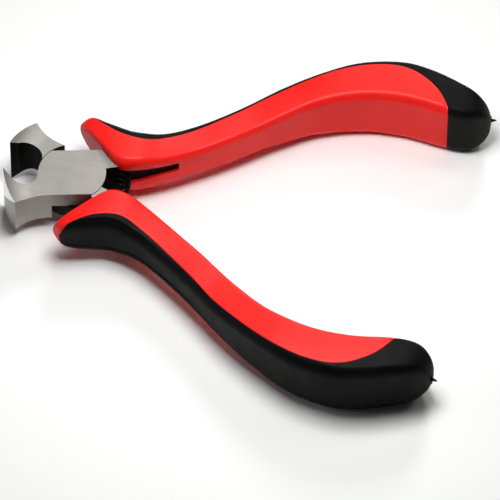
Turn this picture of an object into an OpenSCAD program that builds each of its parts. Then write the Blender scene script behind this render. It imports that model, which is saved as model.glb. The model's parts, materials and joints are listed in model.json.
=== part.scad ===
// Flush cutter of the end cutting kind: two identical lap jointed levers on a
// flush rivet, a short coil spring between their shanks and a two tone grip on
// each handle.
// Origin: under the middle of the open tool, on the surface it rests on.
// +X runs along the tool from the jaws to the handles, +Z along the pivot.

/* [Jaws] */
// Distance from the pivot axis to the cutting edges
jaw_reach = 15.4; // [14.5:0.1:16.5]
// Length of the cutting edges, measured along the pivot axis
edge_length = 13.6; // [11:0.2:15]
// Radius of the ground end face, seen from above
nose_r = 17.6; // [16:0.2:20]
// Radius of the hollow behind each cutting edge
hollow_r = 3.4; // [3:0.1:3.6]
// Distance from the pivot axis to the middle of the hollow
hollow_x = 11; // [10.8:0.1:11.3]
// Radius of the concave back of each jaw
jaw_back_r = 13.4; // [12:0.2:15]
// Distance across a jaw from the edge line to its outer corner
heel_y = 8.6; // [8:0.1:9.2]
// Width of the relief bevel that leaves the cutting edge thin
bevel = 1.2; // [0.8:0.1:1.5]

/* [Joint] */
// Thickness of the tool at the lap joint
joint_thick = 8.5; // [7:0.1:9]
// Radius of the round lap plates
lap_r = 7.6; // [7:0.1:7.7]
// Width of the lap plates across the flats
lap_w = 12.3; // [11:0.1:13]
// Gap between the two lap plates
lap_gap = 0.1; // [0.05:0.01:0.2]
// Radial gap between a lap plate and the shoulder around it
shoulder_gap = 0.15; // [0.1:0.01:0.3]
// Where the slanting outer face of the shoulder starts, seen from the pivot axis
shoulder_x = 9; // [8.4:0.1:9.4]
// How far out that slanting face meets the joint
shoulder_y = 1; // [1:0.1:2.4]
// Diameter of the rivet shank
rivet_d = 5; // [4:0.1:6]
// Diameter of the rivet's countersunk ends
rivet_head_d = 6.2; // [5.6:0.1:7]
// Radial running clearance of the rivet in the lower lever
rivet_clear = 0.05; // [0.02:0.01:0.1]
// Angle between the levers when the spring holds the tool open
open_angle = 26.2; // [20:0.2:28]

/* [Spring] */
// Outer diameter of the spring
spring_d = 4.9; // [4.4:0.1:5]
// Diameter of the spring wire
spring_wire = 0.7; // [0.5:0.05:0.75]
// Number of turns, the two closed end turns included
spring_turns = 8; // [6:0.5:8.5]
// Distance from the pivot axis to the spring seats
seat_x = 10.9; // [10.8:0.05:11]
// Depth of the seat floors beyond the tool's centre plane
seat_y = 3.2; // [3:0.1:3.4]

/* [Grips] */
// Distance from the pivot axis to the front of the grips
grip_front = 2; // [1.8:0.1:2.4]
// Distance from the pivot axis to the round end of the grips
grip_end = 94.6; // [93:0.2:96]
// Distance from the pivot axis to where the red inner side stops
cap_x = 84.6; // [84:0.1:86]
// Height of the window on the inner side, next to the joint
window_h = 4.8; // [4:0.1:5.4]
// How far the window's middle lies above the tool's middle plane
window_rise = 1; // [0:0.1:1.2]
// Distance from the pivot axis to the closed end of that window
window_x = 24; // [22:0.5:26]
// Half thickness of the shank inside the grip
shank_half = 3; // [2.8:0.1:3.4]
// Length of the moulding gate left on the round end
gate_length = 1.3; // [1:0.1:2]

/* [Hidden] */
half_open = open_angle / 2;
joint_half = joint_thick / 2;
edge_half = edge_length / 2;
// the nose circle passes through the cutting edge and the outer corner
nose_x = nose_r - jaw_reach;
// tangent fillet that flares the jaw from the joint's thickness to the edge
flare_x = -9;
flare_run = jaw_reach + flare_x;
flare_rise = edge_half - joint_half;
flare_r = (flare_run * flare_run + flare_rise * flare_rise) / (2 * flare_rise);
// the back of the jaw leaves the flat of the lap plate tangentially
back_x = -5;
// half of the slit that the cutting edges leave between them when closed
edge_gap = 0.05;
// width of the flat on each cutting edge
edge_flat = 0.05;
// how far the nose circle and the hollow are centred beyond the edge line
nose_y = 0.5;
hollow_y = 0.3;
// short overlap that joins two solids
joined = 0.5;
// distance from the centre line to the inner face of the shank's root
root_y = 0.9;
root_x = 3;
round_fn = 96;

// The outlines below are those of the upper lever with the tool closed, as
// [distance along the tool, distance from its centre line].
// side of the grip that faces the other grip
inner_side = [
  [2, 13.5], [5, 9.1], [7.3, 5.4], [9.6, 2], [11.4, 0.9], [15, 0.9],
  [22, 2.6], [34, 7.1], [48, 13.5], [56, 16.4], [66, 17.4], [75, 16],
  [84, 12.7], [89, 11.6], [94.6, 12.4]
];
// side of the grip that lies in the palm
outer_side = [
  [2, 14.9], [5.4, 15.1], [9.6, 13.1], [14, 11.1], [19, 10.9], [24, 12],
  [35, 16.5], [47, 22.3], [60, 26.8], [67, 28.2], [76, 27.7], [82, 25.3],
  [88, 21.6], [94.6, 17.2]
];
// half of the grip's height
half_height = [
  [2, 2.5], [5, 4.1], [9, 5.5], [15, 5.9], [20, 5], [28, 4.4], [36, 4.6],
  [42, 4.7], [49, 5.6], [60, 7.1], [70, 7.7], [78, 7.9], [88, 7.6], [94.6, 6]
];
// how far the front of the grip rises above the tool's middle plane
front_rise = [[2, 1.6], [5, 1.3], [12, 0.8], [28, 0], [60, 0], [94.6, 0]];
// line on the top face where the red sleeve meets the black pad
colour_line = [
  [3.6, 16.6], [5.2, 14.8], [7.6, 12.4], [10.3, 10.2], [14.2, 8.3], [17.2, 7.9],
  [20.1, 8.5], [25, 10.1], [29.6, 12.1], [36.6, 15.6], [43.4, 19.2], [50, 22.1],
  [56, 24.4], [62, 25.9], [68, 26.5], [73.5, 25.9], [77.5, 24.1], [81, 20.9],
  [83.3, 17.4], [84.6, 13.8]
];
// middle line of the shank inside the grip
shank_line = [
  [12, 3.1], [16, 3.6], [24, 5.5], [37, 12], [50, 18.2], [62, 21.6], [72, 21.6]
];
shank_w = 3;
shank_end = 72;
shank_block_end = 14;

// index of the stretch of a curve that holds x
function stretch(k, x, i = 0) =
  (i >= len(k) - 2 || x <= k[i + 1][0]) ? i : stretch(k, x, i + 1);

// slope of a curve at one of its points
function slope(k, i) =
  let (a = max(i - 1, 0), b = min(i + 1, len(k) - 1))
  (k[b][1] - k[a][1]) / (k[b][0] - k[a][0]);

// smooth curve through a list of points, as a height at x
function curve(k, x) =
  let (
    i = stretch(k, x),
    w = k[i + 1][0] - k[i][0],
    t = (x - k[i][0]) / w,
    u = 1 - t
  )
  k[i][1] * u * u * (1 + 2 * t) + k[i + 1][1] * t * t * (1 + 2 * u)
    + w * t * u * (slope(k, i) * u - slope(k, i + 1) * t);

// closes the grip to a rounded end over a length at each end
front_round = 3;
end_round = 5;
function quarter(u) = pow(max(0.01, 1 - pow(u, 2.5)), 0.4);
function closing(x) =
  x < grip_front + front_round ? quarter(1 - (x - grip_front) / front_round)
  : x > grip_end - end_round ? quarter(1 - (grip_end - x) / end_round) : 1;

// rounded corner of a cross section, from one angle to another
corner_steps = 5;
function corner(y, z, r, from, to) =
  [for (i = [0:corner_steps])
    let (t = from + (to - from) * i / corner_steps)
    [y + r * cos(t), z + r * sin(t)]];

// one cross section of the grip: four rounded corners, each of which leaves the
// top or the bottom face at a soft crease
crease = 20;
outer_share = 0.22;
inner_share = 0.185;
function section(x) =
  let (
    a = curve(inner_side, x),
    b = curve(outer_side, x),
    w = (b - a) / 2 * closing(x),
    h = curve(half_height, x) * closing(x),
    limit = 0.95 * min(w, h),
    r_out = min(outer_share * (w + h), limit),
    r_in = min(inner_share * (w + h), limit),
    top = concat(
      [[w, 0]],
      corner(w - r_out, h - r_out, r_out, 0, 90 - crease),
      corner(r_in - w, h - r_in, r_in, 90 + crease, 180),
      [[-w, 0]]
    ),
    ring = concat(top, [for (i = [len(top) - 2:-1:1]) [top[i][0], -top[i][1]]])
  )
  [for (q = ring) [x, (a + b) / 2 + q[0], curve(front_rise, x) + q[1]]];

// places of the cross sections, closer together at the two ends
grip_steps = 34;
grip_places = concat(
  [for (i = [0:4]) grip_front + front_round * (1 - cos(90 * i / 5))],
  [for (i = [0:grip_steps])
    grip_front + front_round
      + (grip_end - end_round - grip_front - front_round) * i / grip_steps],
  [for (i = [1:6]) grip_end - end_round * (1 - sin(90 * i / 6))]
);

// solid through a list of cross sections with equal numbers of points
module loft(rings) {
  n = len(rings[0]);
  last = len(rings) - 1;
  points = [for (r = rings) each r];
  sides = [for (j = [0:last - 1], i = [0:n - 1])
    let (a = j * n + i, b = j * n + (i + 1) % n)
    each [[a, b + n, b], [a, a + n, b + n]]];
  start = [[for (i = [0:n - 1]) i]];
  end = [[for (i = [n - 1:-1:0]) last * n + i]];
  polyhedron(points = points, faces = concat(sides, start, end), convexity = 6);
}

// whole grip of the upper lever, before it is shared between the two colours
module grip_form() {
  loft([for (x = grip_places) section(x)]);
}

// outline under a curve from its first point to its last, down to a base line
function under(k, base, steps) =
  let (a = k[0][0], b = k[len(k) - 1][0])
  concat(
    [for (i = [0:steps]) let (x = a + (b - a) * i / steps) [x, curve(k, x)]],
    [[b, base], [a, base]]
  );

// space on the outer side of the colour line and beyond the red inner side
module pad_space() {
  far = 40;
  line_steps = 40;
  linear_extrude(height = far, center = true) {
    polygon(under(colour_line, far, line_steps));
    translate([cap_x, -far / 2]) square([far, 1.5 * far]);
  }
}

// the jaw seen from above, on its own side of the edge line
module jaw_outline() {
  flat_x = edge_flat - jaw_reach;
  difference() {
    intersection() {
      translate([nose_x, nose_y]) circle(r = nose_r, $fn = 2 * round_fn);
      translate([-2 * jaw_reach, -2 * heel_y]) {
        square([2 * jaw_reach + back_x + joined, 2 * heel_y - edge_gap]);
      }
    }
    translate([-hollow_x, hollow_y]) circle(r = hollow_r, $fn = round_fn);
    translate([back_x, -lap_w / 2 - jaw_back_r]) {
      circle(r = jaw_back_r, $fn = 2 * round_fn);
    }
    polygon([
      [flat_x, joined], [flat_x, -edge_gap], [bevel - jaw_reach, -bevel - edge_gap],
      [-hollow_x, -bevel - edge_gap], [-hollow_x, joined]
    ]);
  }
}

// the jaw, flared from the joint's thickness to the length of its edge
module jaw() {
  wide = 60;
  difference() {
    linear_extrude(height = edge_length, center = true) jaw_outline();
    for (side = [0, 180]) {
      rotate([side, 0, 0]) {
        translate([flare_x, 0, joint_half + flare_r]) rotate([90, 0, 0]) {
          cylinder(r = flare_r, h = wide, center = true, $fn = 2 * round_fn);
        }
        translate([flare_x, -wide / 2, joint_half]) cube([wide, wide, edge_length]);
      }
    }
  }
}

// the shank seen from above, from the joint to its end inside the grip
module shank_outline() {
  steps = 24;
  start = shank_line[0][0];
  places = [for (i = [0:steps]) start + (shank_end - start) * i / steps];
  polygon(concat(
    [for (x = places) [x, curve(shank_line, x) - shank_w / 2]],
    [for (i = [steps:-1:0]) [places[i], curve(shank_line, places[i]) + shank_w / 2]]
  ));
}

// block between the joint and the thinner shank, with the given outer corner
module shank_block_outline(corner) {
  polygon(concat([
    [root_x, root_y], [lap_r, root_y],
    [shank_block_end, curve(shank_line, shank_block_end) - shank_w / 2],
    [shank_block_end, lap_w / 2]
  ], corner));
}

// the lap plate seen from above
module lap_outline() {
  intersection() {
    circle(r = lap_r, $fn = round_fn);
    square([3 * lap_r, lap_w], center = true);
  }
}

// rivet hole or rivet, with countersunk ends
module rivet_form(clear) {
  r = rivet_d / 2 + clear;
  head_r = rivet_head_d / 2 + clear;
  sink = head_r - r;
  rotate_extrude($fn = round_fn) {
    polygon([
      [0, -joint_half], [head_r, -joint_half], [r, -joint_half + sink],
      [r, joint_half - sink], [head_r, joint_half], [0, joint_half]
    ]);
  }
}

// one lever in the closed position, its lap plate on top
module lever(clear) {
  difference() {
    union() {
      jaw();
      translate([0, 0, -joint_half]) {
        linear_extrude(height = joint_thick) {
          shank_block_outline([[shoulder_x, lap_w / 2], [root_x, shoulder_y]]);
        }
      }
      translate([0, 0, -shank_half]) {
        linear_extrude(height = 2 * shank_half) shank_outline();
      }
      translate([0, 0, lap_gap / 2]) {
        linear_extrude(height = joint_half - lap_gap / 2) {
          lap_outline();
          shank_block_outline([[root_x, lap_w / 2]]);
        }
      }
    }
    translate([0, 0, lap_gap / 2 - joint_thick]) {
      cylinder(r = lap_r + shoulder_gap, h = joint_thick, $fn = round_fn);
    }
    rivet_form(clear);
    spring_seat();
  }
}

// pocket that holds one end of the spring
module spring_seat() {
  seat_gap = 0.15;
  translate([seat_x, seat_y, 0]) rotate([90, 0, 0]) {
    cylinder(r = spring_d / 2 + seat_gap, h = 2 * seat_y, $fn = round_fn);
  }
}

// red sleeve: the grip without the pad, the lever and the window; the lower
// lever is the same part turned over, its sleeve is a mirror image
module grip_sleeve(turned) {
  difference() {
    grip_form();
    pad_space();
    mirror([0, 0, turned]) lever(0);
    spring_seat();
    window();
  }
}

// window in the inner side of the sleeve that shows the shank
module window() {
  translate([0, 0, window_rise - window_h / 2]) linear_extrude(height = window_h) {
    polygon([
      [0, -joint_thick], [window_x, -joint_thick],
      [window_x, curve(shank_line, window_x)],
      [shank_block_end, curve(shank_line, shank_block_end)], [0, root_y]
    ]);
  }
}

// black pad and end cap, with the moulding gate on its end
module grip_pad() {
  intersection() {
    grip_form();
    pad_space();
  }
  translate([grip_end - joined, gate_y, 0]) rotate([0, 90, 0]) {
    cylinder(d1 = gate_d, d2 = gate_d / 2, h = gate_length + joined, $fn = round_fn);
  }
}

// the moulding gate, at the middle of the round end
gate_y = 15.4;
gate_d = 1;

// half way between the cutting edges and the gates of the open tool
edge_reach = jaw_reach * cos(half_open);
gate_reach = (grip_end + gate_length) * cos(half_open) - gate_y * sin(half_open);
middle_x = (gate_reach - edge_reach) / 2;
// height of the tool's middle plane above the surface it rests on
rest_height = max([for (x = grip_places, q = section(x)) -q[2]]);

// stands the tool, drawn around its pivot, on the origin
module standing() {
  translate([-middle_x, 0, rest_height]) children();
}

// places a piece of the upper or the lower half in the open tool
module on_upper() {
  standing() rotate([0, 0, half_open]) children();
}

module on_lower() {
  standing() rotate([0, 0, -half_open]) mirror([0, 1, 0]) children();
}

// the spring's middle line is an arc that meets both seats squarely
seat_open = [
  seat_x * cos(half_open) - seat_y * sin(half_open),
  seat_x * sin(half_open) + seat_y * cos(half_open)
];
arc_r = seat_open[1] / sin(half_open);
arc_x = seat_open[0] - arc_r * cos(half_open);
// share of the spring's length reached after a share of its turns
end_turns = 1 / spring_turns;
end_share = 0.09;
function wound(t) =
  t < end_turns ? end_share * t / end_turns
  : t > 1 - end_turns ? 1 - end_share * (1 - t) / end_turns
  : end_share + (1 - 2 * end_share) * (t - end_turns) / (1 - 2 * end_turns);

// one cross section of the spring wire
wire_sides = 8;
spring_gap = 0.06;
function wire_ring(t) =
  let (
    margin = (spring_wire / 2 + spring_gap) / arc_r * 180 / PI,
    sweep = half_open - margin,
    a = -sweep + 2 * sweep * wound(t),
    b = 360 * spring_turns * t,
    coil_r = (spring_d - spring_wire) / 2
  )
  [for (i = [0:wire_sides - 1])
    let (
      c = 360 * i / wire_sides,
      r = coil_r + spring_wire / 2 * cos(c),
      along = spring_wire / 2 * sin(c),
      out = arc_r + r * cos(b)
    )
    [arc_x + out * cos(a) - along * sin(a), out * sin(a) + along * cos(a), r * sin(b)]];

module upper_lever() {
  color("silver") on_upper() lever(0);
}

module lower_lever() {
  color("silver") on_lower() mirror([0, 0, 1]) lever(rivet_clear);
}

module pivot_rivet() {
  color("lightgray") standing() rivet_form(0);
}

module return_spring() {
  steps = 24 * spring_turns;
  color("dimgray") standing() loft([for (i = [0:steps]) wire_ring(i / steps)]);
}

module upper_grip_sleeve() {
  color("red") on_upper() grip_sleeve(0);
}

module lower_grip_sleeve() {
  color("red") on_lower() grip_sleeve(1);
}

module upper_grip_pad() {
  color("black") on_upper() grip_pad();
}

module lower_grip_pad() {
  color("black") on_lower() grip_pad();
}

upper_lever();
lower_lever();
pivot_rivet();
return_spring();
upper_grip_sleeve();
lower_grip_sleeve();
upper_grip_pad();
lower_grip_pad();
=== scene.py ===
import bpy
import bmesh
import json
import math
import numpy as np
from mathutils import Matrix, Vector

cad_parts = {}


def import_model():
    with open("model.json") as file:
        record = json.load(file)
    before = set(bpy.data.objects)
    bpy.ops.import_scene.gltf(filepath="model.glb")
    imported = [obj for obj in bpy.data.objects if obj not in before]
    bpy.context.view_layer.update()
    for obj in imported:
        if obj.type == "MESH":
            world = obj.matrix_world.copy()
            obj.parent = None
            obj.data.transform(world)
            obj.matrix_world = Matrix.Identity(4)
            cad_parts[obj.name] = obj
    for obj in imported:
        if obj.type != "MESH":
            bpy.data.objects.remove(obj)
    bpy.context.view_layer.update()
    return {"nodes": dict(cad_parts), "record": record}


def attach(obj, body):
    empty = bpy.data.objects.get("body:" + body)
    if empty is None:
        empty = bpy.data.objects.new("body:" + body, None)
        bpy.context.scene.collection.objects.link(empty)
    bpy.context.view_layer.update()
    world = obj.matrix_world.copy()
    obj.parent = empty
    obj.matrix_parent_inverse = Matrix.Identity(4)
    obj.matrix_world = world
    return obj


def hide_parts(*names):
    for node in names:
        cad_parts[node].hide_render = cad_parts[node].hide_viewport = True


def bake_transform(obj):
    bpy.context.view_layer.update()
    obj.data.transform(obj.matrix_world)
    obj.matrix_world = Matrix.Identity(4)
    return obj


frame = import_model()

# Lengths below are in mm. Shapes are drawn with the tool closed, x backwards and y outwards from the
# pivot axis, and then turned by half the opening angle and mirrored for the lower lever and grip.
MM = 0.001
HALF_OPEN = math.radians(13.1)
PIVOT = Vector(frame["record"]["behaviour"]["joints"][0]["pos_m"]) / MM
UPPER, LOWER = "upper_half", "lower_half"

# ---------------------------------------------------------------- shape tables
# distance from the pivot axis, and there: the grip's inner and outer outline, its half height, how far
# its middle is raised, the line where the colours meet, and the middle line of the steel shank
INNER = [(2, 13.5), (5, 9.1), (7.3, 5.4), (9.6, 2), (11.4, 0.9), (15, 0.9), (22, 2.6), (34, 7.1),
         (48, 13.5), (56, 16.4), (66, 17.4), (75, 16), (84, 12.7), (89, 11.6), (94.6, 12.4)]
OUTER = [(2, 14.9), (5.4, 15.1), (9.6, 13.1), (14, 11.1), (19, 10.9), (24, 12), (35, 16.5),
         (47, 22.3), (60, 26.8), (67, 28.2), (76, 27.7), (82, 25.3), (88, 21.6), (94.6, 17.2)]
HEIGHT = [(2, 2.5), (5, 4.1), (9, 5.5), (15, 5.9), (20, 5), (28, 4.4), (36, 4.6), (42, 4.7),
          (49, 5.6), (60, 7.1), (70, 7.7), (78, 7.9), (88, 7.6), (94.6, 6)]
RISE = [(2, 1.6), (5, 1.3), (12, 0.8), (28, 0), (60, 0), (94.6, 0)]
SEAM = [(3.6, 15.8), (5.2, 14.3), (7.6, 11.9), (10.3, 9.7), (14.2, 7.9), (17.2, 7.6), (20.1, 8.2),
        (25, 9.8), (29.6, 11.8), (36.6, 15.2), (43.4, 18.9), (50, 21.8), (56, 24.1), (62, 25.7),
        (68, 26.3), (73.5, 25.8), (77.5, 24.1), (81, 20.9), (83.3, 17.4), (84.6, 13.8)]
SHANK = [(12, 3.1), (16, 3.6), (24, 5.5), (37, 12), (50, 18.2), (62, 21.6), (72, 21.6)]
# distance from the pivot axis to the spring
SEAT_X = 10.9
# where the grip starts and ends, where the black cap starts, and the length of the two rounded ends
FRONT, END, CAP = 2.0, 94.6, 84.6
FRONT_ROUND, END_ROUND = 3.0, 5.0
# where the black pad starts, and where its top lip drops into the side panel, measured from the crease
PAD_FRONT, LIP = 3.8, -0.6


def curve(table, x):
    """Smooth curve through a table, with the slope at each point set by its neighbours."""
    k = np.array(table, float)
    x = np.asarray(x, float)
    i = np.clip(np.searchsorted(k[:, 0], x) - 1, 0, len(k) - 2)
    n = np.arange(len(k))
    a, b = np.maximum(n - 1, 0), np.minimum(n + 1, len(k) - 1)
    s = (k[b, 1] - k[a, 1]) / (k[b, 0] - k[a, 0])
    w = k[i + 1, 0] - k[i, 0]
    t = (x - k[i, 0]) / w
    u = 1 - t
    return (k[i, 1] * u * u * (1 + 2 * t) + k[i + 1, 1] * t * t * (1 + 2 * u)
            + w * t * u * (s[i] * u - s[i + 1] * t))


def closing(x):
    """Share of the full section left near the two rounded ends."""
    def quarter(u):
        return max(1e-4, 1 - u ** 2.5) ** 0.4
    if x < FRONT + FRONT_ROUND:
        return quarter(1 - (x - FRONT) / FRONT_ROUND)
    if x > END - END_ROUND:
        return quarter(1 - (END - x) / END_ROUND)
    return 1.0


# angle at the crease, and the radius of the outer and inner corners as a share of width plus height
CREASE = math.radians(20)
OUTER_SHARE, INNER_SHARE = 0.22, 0.185
# how far the top bulges, and the steps in which it is drawn
CROWN = 0.10
TOP_STEPS = np.array([0.0, 0.05] + list(np.linspace(0.12, 0.88, 11)) + [0.95, 1.0])


class Section:
    """Cross section of the grip at x: four round corners that leave the top and the bottom at a crease.

    mid, wide and rise are its middle, half width and raise. half holds the points of its upper half, from
    the middle of the outer side over the top to the middle of the inner side, and run their distances along
    it; crease is the distance at which the outer corner ends.
    """

    def __init__(self, x):
        a, b = float(curve(INNER, x)), float(curve(OUTER, x))
        c = closing(x)
        w, h = (b - a) / 2 * c, float(curve(HEIGHT, x)) * c
        limit = 0.95 * min(w, h)
        ro, ri = min(OUTER_SHARE * (w + h), limit), min(INNER_SHARE * (w + h), limit)
        self.x, self.mid, self.wide = x, (a + b) / 2, w
        self.rise = float(curve(RISE, x))
        # stretches of the upper half, from the middle of the outer side to the middle of the inner side
        up = np.linspace(0, h - ro, 6)
        out = np.linspace(0, math.pi / 2 - CREASE, 10)
        inn = np.linspace(math.pi / 2 + CREASE, math.pi, 10)
        y0, y1 = w - ro + ro * math.cos(out[-1]), ri - w + ri * math.cos(inn[0])
        z0, z1 = h - ro + ro * math.sin(out[-1]), h - ri + ri * math.sin(inn[0])
        f = TOP_STEPS
        side = [np.stack([np.full(6, w), up], 1)[:-1],
                np.stack([w - ro + ro * np.cos(out), h - ro + ro * np.sin(out)], 1)[:-1],
                np.stack([y0 + (y1 - y0) * f, z0 + (z1 - z0) * f + CROWN * c * 4 * f * (1 - f)], 1),
                np.stack([ri - w + ri * np.cos(inn), h - ri + ri * np.sin(inn)], 1)[1:],
                np.stack([np.full(7, -w), np.linspace(h - ri, 0, 7)], 1)[1:]]
        self.half = np.vstack(side)
        self.run = np.concatenate([[0], np.cumsum(np.hypot(*np.diff(self.half, axis=0).T))])
        self.crease = float(self.run[len(side[0]) + len(side[1])])

    def seam(self):
        """Distances round the section, from its outer middle up and down, at which the two colours meet."""
        if self.x <= PAD_FRONT:
            return 0.0, 0.0
        v = float(curve(SEAM, np.clip(self.x, SEAM[0][0], CAP))) - self.mid
        v = min(max(v, -self.wide * 0.999), self.wide * 0.999)
        k = np.argmax(self.half[:, 0] <= v)
        (ya, _), (yb, _) = self.half[k - 1], self.half[k]
        t = float(self.run[k - 1] + (self.run[k] - self.run[k - 1]) * (ya - v) / max(ya - yb, 1e-9))
        # the pad's front slants back towards the top and wraps the lower edge
        ahead = self.x - PAD_FRONT
        wrap = max(0.0, self.crease - t) * (1 - float(smoothstep(4.5, 8, self.x)))
        up = min(t, 0.2 + 2.8 * max(0.0, ahead - 0.1)) if self.x < 6 else t
        down = min(t + wrap, 4.0 * math.sqrt(min(1.0, ahead / 0.5))) if self.x < 6 else t + wrap
        return up, down

    def at(self, s):
        """Points and outward directions at distances s round the upper half."""
        def point(t):
            return np.stack([np.interp(t, self.run, side) for side in self.half.T], 1)
        e = 0.05
        d = point(s + e) - point(s - e)
        # beyond the ends the half goes on as its own mirror image, straight up or down
        d[s <= e] = (0, 1)
        d[s >= self.run[-1] - e] = (0, -1)
        d /= np.maximum(np.hypot(*d.T), 1e-9)[:, None]
        return point(s), np.stack([d[:, 1], -d[:, 0]], 1)

    def both(self, above, below, sleeve):
        """Ring part through distances above and below the outer middle, each with its outward offsets."""
        p, n = self.at(above[0])
        top = p + n * above[1][:, None]
        p, n = self.at(below[0])
        low = (p + n * below[1][:, None]) * (1, -1)
        ring = np.vstack([top, low[::-1][1:]]) if sleeve else np.vstack([low[::-1], top[1:]])
        return ring + (self.mid, self.rise)


def smoothstep(a, b, x):
    t = np.clip((x - a) / (b - a), 0, 1)
    return t * t * (3 - 2 * t)


# distances from the joint line of the colours at which the surface has points, and points across the wall
EDGE = np.array([0, 0.05, 0.12, 0.25, 0.5, 0.9])
CHORD_N = 5
GROOVE_DEPTH, GROOVE_WIDTH = 0.08, 0.09


def places():
    f = [FRONT + FRONT_ROUND * (1 - math.cos(math.radians(9 * i))) for i in range(11)]
    m = list(np.arange(5.15, 8, 0.12)) + list(np.arange(8, END - END_ROUND, 0.55))
    e = [END - END_ROUND * (1 - math.sin(math.radians(6 * i))) for i in range(16)]
    return sorted(set([round(v, 4) for v in f + m + e if abs(v - CAP) > 0.2] + [CAP]))


def groove(x, d):
    """How far the surface drops into the joint line between the colours, d away from it."""
    deep = GROOVE_DEPTH * float(smoothstep(PAD_FRONT, PAD_FRONT + 2.5, x))
    return -deep * np.exp(-(d / GROOVE_WIDTH) ** 2)


def red_side(sec, t, offset):
    """Sleeve's distances and offsets on one half of a section, from the seam to the inner middle."""
    s = np.minimum(np.concatenate([t + EDGE, np.maximum(sec.run, t + EDGE[-1])]), sec.run[-1])
    return s, offset(s - t)


def red_ring(x):
    """Sleeve's share of a section: from the seam round the inner side to the seam below."""
    sec = Section(x)
    up, down = sec.seam()
    above, below = [red_side(sec, t, lambda d: groove(x, d)) for t in (up, down)]
    p = sec.both(above, below, True)
    chord = np.linspace(p[-1], p[0], CHORD_N + 2)[1:-1]
    return np.vstack([p, chord])


def pad_arc(x, share=None):
    """Pad's share of a section: from the seam below round the outer side to the seam above."""
    sec = Section(x)
    sides = []
    for low, t in enumerate(sec.seam() if share is None else (share * sec.run[-1],) * 2):
        s = np.concatenate([np.minimum(PAD_STEPS * sec.run[-1], t - EDGE[-1]), t - EDGE[::-1]])
        s = np.maximum(s, 0)
        sides.append((s, groove(x, t - s) + panel(sec, x, s)[low] if share is None else np.zeros(len(s))))
    return sec.both(*sides, False)


def panel(sec, x, s):
    """The hollow panel in the front of the pad's side, between a flat top lip and a low bottom lip."""
    d = sec.crease - s
    z = sec.at(s)[0][:, 1]
    front = float(smoothstep(4.2, 8, x)) * (1 - float(smoothstep(30, 54, x)))
    above = -front * smoothstep(LIP, LIP + 1, d) * (0.5 - 0.2 * smoothstep(1.2, 3.6, d))
    below = -0.3 * front * smoothstep(2.1, 2.45, sec.half[:, 1].max() - z)
    return above, below


PAD_STEPS = np.concatenate([np.linspace(0, 0.5, 34), np.linspace(0.52, 1, 20)])


def skin(rings):
    """Quads between rings of equal length, each closed round."""
    n = len(rings[0])
    faces = []
    for j in range(len(rings) - 1):
        for i in range(n):
            a, b = j * n + i, j * n + (i + 1) % n
            faces.append((a, b, b + n, a + n))
    return faces


def put(x, yz):
    """Points of a section, placed at x."""
    return [(x, y, z) for y, z in yz]


def placed(verts, lower):
    """From the closed upper lever to the open tool, in metres; the lower half is the mirror image."""
    v = np.array(verts, float)
    a = HALF_OPEN
    if lower:
        v[:, 1] *= -1
        a = -a
    c, s = math.cos(a), math.sin(a)
    out = np.stack([v[:, 0] * c - v[:, 1] * s, v[:, 0] * s + v[:, 1] * c, v[:, 2]], 1)
    return (out + np.array(PIVOT)) * MM


def new_piece(name, verts, faces, materials, body, smooth_deg=38.0):
    """A smooth-shaded object from points in metres, riding on the body if one is given."""
    mesh = bpy.data.meshes.new(name)
    mesh.from_pydata([tuple(v) for v in verts], [], [tuple(f) for f in faces])
    bm = bmesh.new()
    bm.from_mesh(mesh)
    bmesh.ops.remove_doubles(bm, verts=bm.verts, dist=2e-6)
    bmesh.ops.dissolve_degenerate(bm, edges=bm.edges, dist=1e-6)
    bmesh.ops.recalc_face_normals(bm, faces=bm.faces)
    bm.to_mesh(mesh)
    bm.free()
    mesh.shade_smooth()
    mesh.set_sharp_from_angle(angle=math.radians(smooth_deg))
    obj = bpy.data.objects.new(name, mesh)
    bpy.context.scene.collection.objects.link(obj)
    for m in materials:
        mesh.materials.append(m)
    if body:
        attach(obj, body)
    return obj


def cut(obj, cutter):
    """Takes the cutter's shape out of obj and drops the cutter."""
    mod = obj.modifiers.new("cut", "BOOLEAN")
    mod.operation, mod.solver, mod.object = "DIFFERENCE", "EXACT", cutter
    dg = bpy.context.evaluated_depsgraph_get()
    done = bpy.data.meshes.new_from_object(obj.evaluated_get(dg))
    obj.modifiers.clear()
    mats = [m for m in obj.data.materials]
    obj.data = done
    done.materials.clear()
    for m in mats:
        done.materials.append(m)
    done.shade_smooth()
    done.set_sharp_from_angle(angle=math.radians(38))
    bpy.data.objects.remove(cutter)


# ---------------------------------------------------------------- materials
def material(name):
    m = bpy.data.materials.new(name)
    m.use_nodes = True
    return m, m.node_tree.nodes, m.node_tree.links, m.node_tree.nodes["Principled BSDF"]


def noise(nodes, links, scale, detail=3.0, coords=None, rough=0.5):
    n = nodes.new("ShaderNodeTexNoise")
    n.inputs["Scale"].default_value = scale
    n.inputs["Detail"].default_value = detail
    n.inputs["Roughness"].default_value = rough
    if coords is not None:
        links.new(coords, n.inputs["Vector"])
    return n.outputs["Fac"]


def object_coords(nodes, links, scale=(1, 1, 1)):
    t = nodes.new("ShaderNodeTexCoord")
    m = nodes.new("ShaderNodeMapping")
    m.inputs["Scale"].default_value = scale
    links.new(t.outputs["Object"], m.inputs["Vector"])
    return m.outputs["Vector"]


def ramp(nodes, links, fac, stops):
    r = nodes.new("ShaderNodeValToRGB")
    e = r.color_ramp.elements
    while len(e) < len(stops):
        e.new(0.5)
    for k, (pos, col) in zip(e, stops):
        k.position = pos
        k.color = (*col, 1) if len(col) == 3 else col
    links.new(fac, r.inputs["Fac"])
    return r.outputs["Color"]


def bump(nodes, links, height, strength, distance):
    b = nodes.new("ShaderNodeBump")
    b.inputs["Strength"].default_value = strength
    b.inputs["Distance"].default_value = distance
    links.new(height, b.inputs["Height"])
    return b


def grey(v):
    return (v, v, v)


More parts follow.
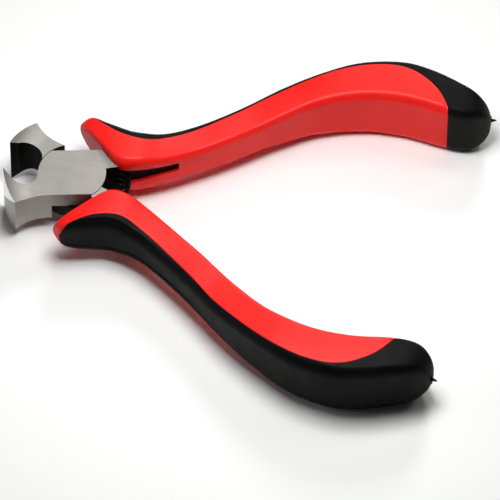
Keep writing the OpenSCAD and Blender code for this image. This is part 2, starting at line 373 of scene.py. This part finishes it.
def red_vinyl():
    m, nodes, links, p = material("red_vinyl")
    c = object_coords(nodes, links)
    stops = [(0.3, (0.84, 0.012, 0.009)), (0.7, (0.88, 0.017, 0.013))]
    col = ramp(nodes, links, noise(nodes, links, 90, 4, c), stops)
    links.new(col, p.inputs["Base Color"])
    rough = ramp(nodes, links, noise(nodes, links, 260, 3, c), [(0.3, grey(0.36)), (0.7, grey(0.44))])
    links.new(rough, p.inputs["Roughness"])
    p.inputs["Specular IOR Level"].default_value = 0.2
    b = bump(nodes, links, noise(nodes, links, 1900, 3, c), 0.22, 0.00004)
    links.new(b.outputs["Normal"], p.inputs["Normal"])
    return m


def black_rubber():
    m, nodes, links, p = material("black_rubber")
    c = object_coords(nodes, links)
    stops = [(0.3, grey(0.0018)), (0.7, (0.0032, 0.0035, 0.0032))]
    col = ramp(nodes, links, noise(nodes, links, 120, 4, c), stops)
    links.new(col, p.inputs["Base Color"])
    rough = ramp(nodes, links, noise(nodes, links, 400, 3, c), [(0.3, grey(0.46)), (0.7, grey(0.58))])
    links.new(rough, p.inputs["Roughness"])
    p.inputs["Specular IOR Level"].default_value = 0.085
    b = bump(nodes, links, noise(nodes, links, 2600, 4, c, 0.6), 0.35, 0.00005)
    links.new(b.outputs["Normal"], p.inputs["Normal"])
    return m


def ground_steel(name, low, high, rough_low, rough_high, grain=(60, 900, 60)):
    """Satin ground steel: fine parallel scratches over slow changes of tone."""
    m, nodes, links, p = material(name)
    p.inputs["Metallic"].default_value = 1.0
    c = object_coords(nodes, links)
    g = object_coords(nodes, links, grain)
    tone = ramp(nodes, links, noise(nodes, links, 170, 4, c), [(0.3, low), (0.7, high)])
    links.new(tone, p.inputs["Base Color"])
    scratch = noise(nodes, links, 1.0, 4, g, 0.7)
    rough = ramp(nodes, links, scratch, [(0.3, grey(rough_low)), (0.7, grey(rough_high))])
    links.new(rough, p.inputs["Roughness"])
    b = bump(nodes, links, scratch, 0.25, 0.00003)
    links.new(b.outputs["Normal"], p.inputs["Normal"])
    return m


def black_oxide(name="black_oxide", base=0.0018, rough=0.5):
    m, nodes, links, p = material(name)
    c = object_coords(nodes, links)
    col = ramp(nodes, links, noise(nodes, links, 300, 4, c), [(0.35, grey(base)), (0.7, grey(base * 2.2))])
    links.new(col, p.inputs["Base Color"])
    stops = [(0.3, grey(rough - 0.08)), (0.7, grey(rough + 0.08))]
    r = ramp(nodes, links, noise(nodes, links, 700, 3, c), stops)
    links.new(r, p.inputs["Roughness"])
    p.inputs["Specular IOR Level"].default_value = 0.05
    b = bump(nodes, links, noise(nodes, links, 2200, 3, c), 0.3, 0.00004)
    links.new(b.outputs["Normal"], p.inputs["Normal"])
    return m


RED = red_vinyl()
BLACK = black_rubber()
STEEL = ground_steel("satin_steel", (0.295, 0.285, 0.262), (0.345, 0.332, 0.305), 0.54, 0.64)
SIDE = ground_steel("ground_side", (0.29, 0.28, 0.262), (0.37, 0.355, 0.335), 0.40, 0.52, (60, 60, 900))
# pale steel for one nose facet: a painted glint of light on the jaw's end
PAINTED_GLINT_FACET = ground_steel("painted_glint_facet", (0.80, 0.79, 0.77), (0.88, 0.87, 0.85), 0.45, 0.55, (60, 60, 900))
# black oxide of the steel; the same material also paints shade into the sleeve's pockets and onto the lever
# neck's top
OXIDE_AND_SHADE = black_oxide()
WIRE = black_oxide("black_wire", 0.0018, 0.4)


# ---------------------------------------------------------------- grips
def sleeve(lower):
    """Red sleeve, with its window and spring pocket cut out."""
    xs = [x for x in places() if x <= CAP]
    rings = [red_ring(x) for x in xs]
    n = len(rings[0])
    verts = [v for x, r in zip(xs, rings) for v in put(x, r)]
    faces = skin(rings)
    faces.append(tuple(range(n)))
    faces.append(tuple(range((len(rings) - 1) * n, len(rings) * n)))
    name = ("lower" if lower else "upper") + "_red_sleeve"
    # second slot: the cut pocket walls are painted black as shade
    obj = new_piece(name, placed(verts, lower), faces, [RED, OXIDE_AND_SHADE], None)
    cut(obj, window_cutter(lower))
    cut(obj, seat_cutter(lower))
    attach(obj, LOWER if lower else UPPER)
    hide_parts("lower_grip_sleeve" if lower else "upper_grip_sleeve")
    return obj


def window_cutter(lower):
    """Pocket in the inner side, from the joint back along the shank."""
    start, end, r, inside = -4, 24.0, 0.7, -9
    xs = list(np.linspace(start, end - r, 20))
    xs += [end - r * (1 - math.sin(math.radians(v))) for v in range(15, 91, 15)]
    rings = []
    for x in xs:
        back = float(curve(SHANK, max(x, 12))) + 0.6 * (1 - float(smoothstep(14, 16, x)))
        low, high = -1.4 + 1.2 * float(smoothstep(12, 22, x)), 3.4 - 0.8 * float(smoothstep(13, 24, x))
        pinch = 0.0 if x <= end - r else r * (1 - math.sqrt(max(0.0, 1 - ((x - end + r) / r) ** 2)))
        low, high = low + pinch, high - pinch
        rings.append([(x, inside, low), (x, back, low), (x, back, high), (x, inside, high)])
    verts = [v for r in rings for v in r]
    faces = skin(rings) + [(3, 2, 1, 0), tuple(range(len(verts) - 4, len(verts)))]
    return shade_painted_cutter(verts, faces, lower)


def seat_cutter(lower):
    """Round pocket in which the spring stands."""
    r, mouth, deep, sides = 2.65, -4, 3.6, 48
    turns = [2 * math.pi * k / sides for k in range(sides)]
    ring = [(SEAT_X + r * math.cos(t), r * math.sin(t)) for t in turns]
    verts = [(a, mouth, b) for a, b in ring] + [(a, deep, b) for a, b in ring]
    faces = skin([ring, ring]) + [tuple(range(sides)), tuple(range(sides, 2 * sides))]
    return shade_painted_cutter(verts, faces, lower)


def shade_painted_cutter(verts, faces, lower):
    """A cutter that leaves black walls: painted shade inside the pocket of the red sleeve."""
    obj = new_piece("cutter", placed(verts, lower), faces, [RED, OXIDE_AND_SHADE], None)
    for f in obj.data.polygons:
        f.material_index = 1
    return obj


def pad(lower):
    """Black pad along the outer side, and the whole cap at the end."""
    xs = places()
    start = next(x for x in np.arange(PAD_FRONT, 8, 0.01) if min(Section(x).seam()) > 0.15)
    front = [round(float(start), 3)] + [x for x in xs if start < x <= CAP]
    back = [x for x in xs if x > CAP]
    cap_run = Section(CAP)
    share = cap_run.seam()[0] / cap_run.run[-1]
    verts, faces, arcs = [], [], []
    for x in front + back:
        arcs.append(len(verts))
        verts += put(x, pad_arc(x, None if x <= CAP else share))
    n = len(pad_arc(CAP))
    for a, b in zip(arcs, arcs[1:]):
        faces += [(a + i, a + i + 1, b + i + 1, b + i) for i in range(n - 1)]
    # flat wall against the sleeve
    chords = []
    for j in range(len(front)):
        p0, p1 = np.array(verts[arcs[j] + n - 1]), np.array(verts[arcs[j]])
        first = len(verts)
        verts += [tuple(p0 + (p1 - p0) * k / (CHORD_N + 1)) for k in range(1, CHORD_N + 1)]
        chords.append([arcs[j] + n - 1] + list(range(first, first + CHORD_N)) + [arcs[j]])
    for a, b in zip(chords, chords[1:]):
        faces += [(a[i], a[i + 1], b[i + 1], b[i]) for i in range(CHORD_N + 1)]
    faces.append(tuple([arcs[0] + i for i in range(n)] + chords[0][1:-1]))
    # the cap's inner side, beyond the end of the sleeve
    inner = []
    for j, x in zip(range(len(front) - 1, len(front) + len(back)), [CAP] + back):
        sec = Section(x)
        sunk = -GROOVE_DEPTH if x == CAP else 0.0
        half = red_side(sec, share * sec.run[-1], lambda d: np.full(len(d), sunk))
        q = sec.both(half, half, True)[1:-1]
        first = len(verts)
        verts += put(x, q)
        inner.append([arcs[j] + n - 1] + list(range(first, first + len(q))) + [arcs[j]])
    for a, b in zip(inner, inner[1:]):
        faces += [(a[i], a[i + 1], b[i + 1], b[i]) for i in range(len(a) - 1)]
    faces.append(tuple(chords[-1][1:-1][::-1] + [inner[0][0]] + inner[0][1:-1] + [inner[0][-1]]))
    faces.append(tuple([arcs[-1] + i for i in range(n)] + inner[-1][1:-1]))
    # moulding gate: a small pointed nib on a short upright scar
    nib(verts, faces)
    name = ("lower" if lower else "upper") + "_black_pad"
    obj = new_piece(name, placed(verts, lower), faces, [BLACK], LOWER if lower else UPPER)
    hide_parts("lower_grip_pad" if lower else "upper_grip_pad")
    return obj


def nib(verts, faces):
    """Adds the pointed nib, given as distance beyond the end and radius, and the scar that it stands on."""
    y0, sides = 15.3, 14
    profile = [(-1.5, 0.75), (-0.12, 0.7), (0.12, 0.48), (0.4, 0.36), (0.8, 0.25), (1.15, 0.15),
               (1.28, 0.06)]
    scar_in, scar_out, scar_half_w, scar_half_h = -1.5, 0.12, 0.22, 1.4
    turns = [2 * math.pi * k / sides for k in range(sides)]
    first = len(verts)
    for dx, r in profile:
        verts += [(END + dx, y0 + r * math.cos(t), r * math.sin(t)) for t in turns]
    for j in range(len(profile) - 1):
        for k in range(sides):
            a, b = first + j * sides + k, first + j * sides + (k + 1) % sides
            faces.append((a, b, b + sides, a + sides))
    faces.append(tuple(range(first, first + sides)))
    faces.append(tuple(range(len(verts) - sides, len(verts))))
    first = len(verts)
    corners = [(-scar_half_w, -scar_half_h), (scar_half_w, -scar_half_h),
               (scar_half_w, scar_half_h), (-scar_half_w, scar_half_h)]
    verts += [(END + dx, y0 + dy, dz) for dx in (scar_in, scar_out) for dy, dz in corners]
    faces.extend(tuple(first + i for i in f) for f in
                 ((0, 1, 2, 3), (4, 5, 6, 7), (0, 1, 5, 4), (1, 2, 6, 5), (2, 3, 7, 6), (3, 0, 4, 7)))


# ---------------------------------------------------------------- levers
# material slots of a lever
FLAT, ROUND_SIDE, BLACKENED_AND_SHADE, PAINTED_GLINT = range(4)
# the hollow behind the cutting edges, and where the bare steel ends on the shank's sides and all round
HOLLOW_X, HOLLOW_Y, HOLLOW_R = -11, 0.3, 3.4
BLACK_SIDES, BLACK_ALL = 3, 9.5
# height under which a level face is blackened, as the shank's black finish and as painted shade on the neck
# under the lap plate's edge, and where the nose starts
SHANK_AND_SHADE_TOP, NOSE_X = 3.9, -11


def finish_faces(bm, turn, lower):
    """Gives each face its material slot and returns the faces of the jaw's end."""
    nose = []
    for f in bm.faces:
        c = (turn @ f.calc_center_median()) / MM
        n = turn.to_3x3() @ f.normal
        x, y = c.x, (-c.y if lower else c.y)
        nz = abs(n.z)
        hollow = abs(math.hypot(x - HOLLOW_X, y - HOLLOW_Y) - HOLLOW_R) < 0.5 and nz < 0.4
        f.material_index = FLAT
        if hollow or (x > BLACK_SIDES and nz < 0.4) or x > BLACK_ALL:
            f.material_index = BLACKENED_AND_SHADE
        elif nz < 0.5:
            f.material_index = ROUND_SIDE
        if nz < 0.5 and x < NOSE_X and n.x < -0.3 and not hollow:
            nose.append(f)
        # level faces below the plate: black finish on the shank, painted shade on the neck top
        if abs(c.z) < SHANK_AND_SHADE_TOP and nz > 0.6:
            f.material_index = BLACKENED_AND_SHADE
    return nose


def grind_nose(bm, turn, nose, lower):
    """The jaw's end is ground in two facets that meet on a slanting line, one of them painted pale as a
    glint of light.
    """
    side = -1 if lower else 1
    edge, heel = Vector((-15.4, 0.0, -3.0 * side)), Vector((-13.2, -8.6 * side, 4.9 * side))
    back = turn.inverted()
    across = Vector((-1.0, 0.0, 0.0)).cross(heel - edge) * side
    if across.z * side < 0:
        across = -across
    geom = nose + list({e for f in nose for e in f.edges}) + list({v for f in nose for v in f.verts})
    cut_faces = bmesh.ops.bisect_plane(bm, geom=geom, plane_co=back @ (edge * MM),
                                       plane_no=back.to_3x3() @ across, dist=1e-7)
    for f in cut_faces["geom"]:
        if isinstance(f, bmesh.types.BMFace):
            c = (turn @ f.calc_center_median()) / MM
            if (c - edge).dot(across) > 0:
                # this facet takes the pale material, a painted glint
                f.material_index = PAINTED_GLINT
    bm.normal_update()


def lever(node, lower):
    """The CAD lever with its edges broken, and a finish for each surface."""
    bm = bmesh.new()
    bm.from_mesh(frame["nodes"][node].data)
    bmesh.ops.remove_doubles(bm, verts=bm.verts, dist=1e-6)
    bmesh.ops.dissolve_limit(bm, angle_limit=math.radians(0.4), verts=bm.verts, edges=bm.edges,
                             delimit=set())
    turn = (Matrix.Rotation(HALF_OPEN if lower else -HALF_OPEN, 4, "Z")
            @ Matrix.Translation(-PIVOT * MM))
    grind_nose(bm, turn, finish_faces(bm, turn, lower), lower)
    mesh = bpy.data.meshes.new(node + "_ground")
    bm.to_mesh(mesh)
    bm.free()
    for m in (STEEL, SIDE, OXIDE_AND_SHADE, PAINTED_GLINT_FACET):
        mesh.materials.append(m)
    mesh.shade_smooth()
    mesh.set_sharp_from_angle(angle=math.radians(25))
    obj = bpy.data.objects.new(node + "_ground", mesh)
    bpy.context.scene.collection.objects.link(obj)
    bev = obj.modifiers.new("broken_edges", "BEVEL")
    bev.width, bev.segments, bev.limit_method = 0.00009, 2, "ANGLE"
    bev.angle_limit = math.radians(28)
    bev.use_clamp_overlap = True
    flat = obj.modifiers.new("flat_faces", "WEIGHTED_NORMAL")
    flat.keep_sharp = True
    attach(obj, LOWER if lower else UPPER)
    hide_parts(node)
    return obj


# ---------------------------------------------------------------- spring
def spring():
    """Closed and squared coil spring whose middle line is an arc that meets both seats squarely."""
    d_out, wire, turns, seat_x, seat_y = 4.9, 0.7, 8.0, SEAT_X, 3.2
    ho = HALF_OPEN
    sx = seat_x * math.cos(ho) - seat_y * math.sin(ho)
    sy = seat_x * math.sin(ho) + seat_y * math.cos(ho)
    arc_r = sy / math.sin(ho)
    arc_x = sx - arc_r * math.cos(ho)
    margin = (wire / 2 + 0.06) / arc_r
    sweep = ho - margin
    et, es = 1 / turns, 0.09
    sides, steps = 14, int(36 * turns)
    coil = (d_out - wire) / 2
    verts, faces = [], []
    for j in range(steps + 1):
        t = j / steps
        w = es * t / et if t < et else (1 - es * (1 - t) / et if t > 1 - et
                                        else es + (1 - 2 * es) * (t - et) / (1 - 2 * et))
        a, b = -sweep + 2 * sweep * w, 2 * math.pi * turns * t
        for i in range(sides):
            c = 2 * math.pi * i / sides
            r, along = coil + wire / 2 * math.cos(c), wire / 2 * math.sin(c)
            out = arc_r + r * math.cos(b)
            verts.append((arc_x + out * math.cos(a) - along * math.sin(a),
                          out * math.sin(a) + along * math.cos(a), r * math.sin(b)))
    for j in range(steps):
        for i in range(sides):
            a, b = j * sides + i, j * sides + (i + 1) % sides
            faces.append((a, b, b + sides, a + sides))
    faces.append(tuple(range(sides)))
    faces.append(tuple(range(steps * sides, (steps + 1) * sides)))
    verts = (np.array(verts) + np.array(PIVOT)) * MM
    obj = new_piece("coil_spring", verts, faces, [WIRE], None, 60)
    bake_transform(obj)
    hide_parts("return_spring")
    return obj


for lower in (False, True):
    sleeve(lower)
    pad(lower)
lever("upper_lever", False)
lever("lower_lever", True)
spring()
rivet = frame["nodes"]["pivot_rivet"]
rivet.data.materials.clear()
rivet.data.materials.append(STEEL)


# ---------------------------------------------------------------- floor, light, camera
def floor():
    m, nodes, links, p = material("white_table")
    stops = [(0.3, (0.95, 0.955, 0.94)), (0.7, (0.97, 0.973, 0.96))]
    col = ramp(nodes, links, noise(nodes, links, 3, 3, object_coords(nodes, links)), stops)
    links.new(col, p.inputs["Base Color"])
    p.inputs["Roughness"].default_value = 0.7
    p.inputs["Specular IOR Level"].default_value = 0.2
    mesh = bpy.data.meshes.new("table_top")
    s = 3.0
    mesh.from_pydata([(-s, -s, 0), (s, -s, 0), (s, s, 0), (-s, s, 0)], [], [(0, 1, 2, 3)])
    mesh.materials.append(m)
    obj = bpy.data.objects.new("table_top", mesh)
    obj.location.z = -0.00005
    bpy.context.scene.collection.objects.link(obj)


def light(name, place, aim, size, power, colour=(1, 1, 1)):
    d = bpy.data.lights.new(name, "AREA")
    d.shape, d.size, d.size_y = "RECTANGLE", size[0], size[1]
    d.energy, d.color = power, colour
    o = bpy.data.objects.new(name, d)
    o.location = place
    o.rotation_mode = "QUATERNION"
    o.rotation_quaternion = (Vector(aim) - Vector(place)).to_track_quat("-Z", "Y")
    o.visible_camera = False
    bpy.context.scene.collection.objects.link(o)


def world():
    w = bpy.data.worlds.new("studio")
    bpy.context.scene.world = w
    w.use_nodes = True
    w.node_tree.nodes["Background"].inputs["Color"].default_value = (1.0, 1.0, 1.0, 1)
    w.node_tree.nodes["Background"].inputs["Strength"].default_value = 0.02


floor()
world()
# a small lamp close above the middle throws the shadows outwards, soft boxes fill the rest
light("lamp", (0.004, 0, 0.195), (0.004, 0, 0), (0.08, 0.08), 0.33)
light("back", (0, 1.0, 0.7), (0, 0, 0), (0.3, 0.3), 4.2)
light("top_back", (0, 0.45, 1.1), (0, 0, 0), (0.3, 0.3), 1.6)
light("right_back", (0.7, 0.6, 0.8), (0, 0, 0), (0.4, 0.4), 1.3)
light("left", (-1.1, -0.2, 0.4), (0, 0, 0), (0.6, 0.6), 1.8)

# camera: looks down on the tool from the front with a long lens, in mm
CAM_ELEVATION, CAM_ROLL, CAM_TURN = math.radians(54), math.radians(0.5), math.radians(-11)
CAM_AIM = Vector((42.6, -10, 0)) + PIVOT
CAM_DISTANCE, CAM_LENS = 1567, 507.1


def camera():
    e, roll, turn = CAM_ELEVATION, CAM_ROLL, CAM_TURN
    right = Vector((1, 0, 0))
    up = Vector((0, math.sin(e), math.cos(e)))
    look = Vector((0, math.cos(e), -math.sin(e)))
    r2 = right * math.cos(roll) + up * math.sin(roll)
    u2 = up * math.cos(roll) - right * math.sin(roll)
    back = Matrix.Rotation(-turn, 3, "Z")
    r2, u2, look = back @ r2, back @ u2, back @ look
    d = bpy.data.cameras.new("camera")
    d.sensor_width = 36.0
    d.lens = CAM_LENS
    d.clip_start, d.clip_end = 0.05, 20
    o = bpy.data.objects.new("camera", d)
    bpy.context.scene.collection.objects.link(o)
    m = Matrix((r2, u2, -look)).transposed().to_4x4()
    m.translation = (CAM_AIM - look * CAM_DISTANCE) * MM
    o.matrix_world = m
    bpy.context.scene.camera = o


camera()
bpy.context.scene.view_settings.view_transform = "Standard"
bpy.context.view_layer.update()
